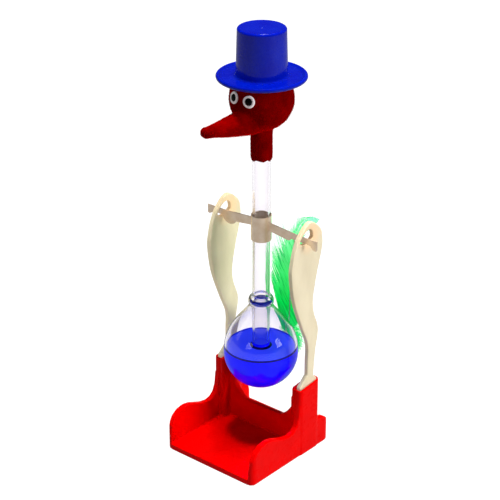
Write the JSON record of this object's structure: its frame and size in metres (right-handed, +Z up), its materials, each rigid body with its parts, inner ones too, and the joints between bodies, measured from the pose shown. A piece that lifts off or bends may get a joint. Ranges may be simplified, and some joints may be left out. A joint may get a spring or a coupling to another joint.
{
  "type": "drinking bird desk toy",
  "caption": "Glass drinking bird with felt head, top hat and feather tail, swinging on a steel bar between two plastic legs in an open tray.",
  "frame": {"origin": "middle of the tray's flat underside", "axes": "+Z up, the bird faces -Y, the pivot edge of the steel bar lies along X"},
  "size_m": [0.0568, 0.0696, 0.1802],
  "materials": {
    "tray_red": "glossy moulded red plastic",
    "leg_ivory": "semi-gloss moulded ivory plastic",
    "bar_steel": "bright stamped steel strip, slightly warm",
    "clear_glass": "clear blown glass",
    "blue_liquid": "clear dyed blue liquid",
    "red_felt": "short flocked felt, dark red",
    "beak_core": "plain porous core",
    "eye_white": "glossy white disc",
    "eye_black": "glossy black dome",
    "hat_blue": "glossy moulded blue plastic",
    "quill_horn": "translucent dyed quill",
    "feather_green": "dyed green feather barbs",
    "clear_glue": "clear rubbery glue"
  },
  "bodies": {
    "stand": {"base_tray": "tray_red", "leg_left": "leg_ivory", "leg_right": "leg_ivory"},
    "clip": {"pivot_bar": "bar_steel"},
    "bird": {"glass_stem": "clear_glass", "glass_bulb": "clear_glass", "liquid_pool": "blue_liquid", "liquid_column": "blue_liquid", "head_felt": "red_felt", "neck_felt": "red_felt", "beak_felt": "red_felt", "beak_core": "beak_core", "eye_white_left": "eye_white", "eye_white_right": "eye_white", "eye_pupil_left": "eye_black", "eye_pupil_right": "eye_black", "hat": "hat_blue", "tail_quill": "quill_horn", "tail_vane_left": "feather_green", "tail_vane_right": "feather_green", "tail_fluff": "feather_green", "tail_glue": "clear_glue"}
  },
  "joints": [
    {"name": "pivot_swing", "type": "hinge", "parent": "stand", "child": "clip", "pos_m": [0, 0.0078, 0.0964], "axis": [1, 0, 0], "range_deg": [-25, 75]},
    {"name": "clip_adjust", "type": "slide", "parent": "clip", "child": "bird", "axis": [0, 0, 1], "range_m": [-0.006, 0.006]}
  ]
}
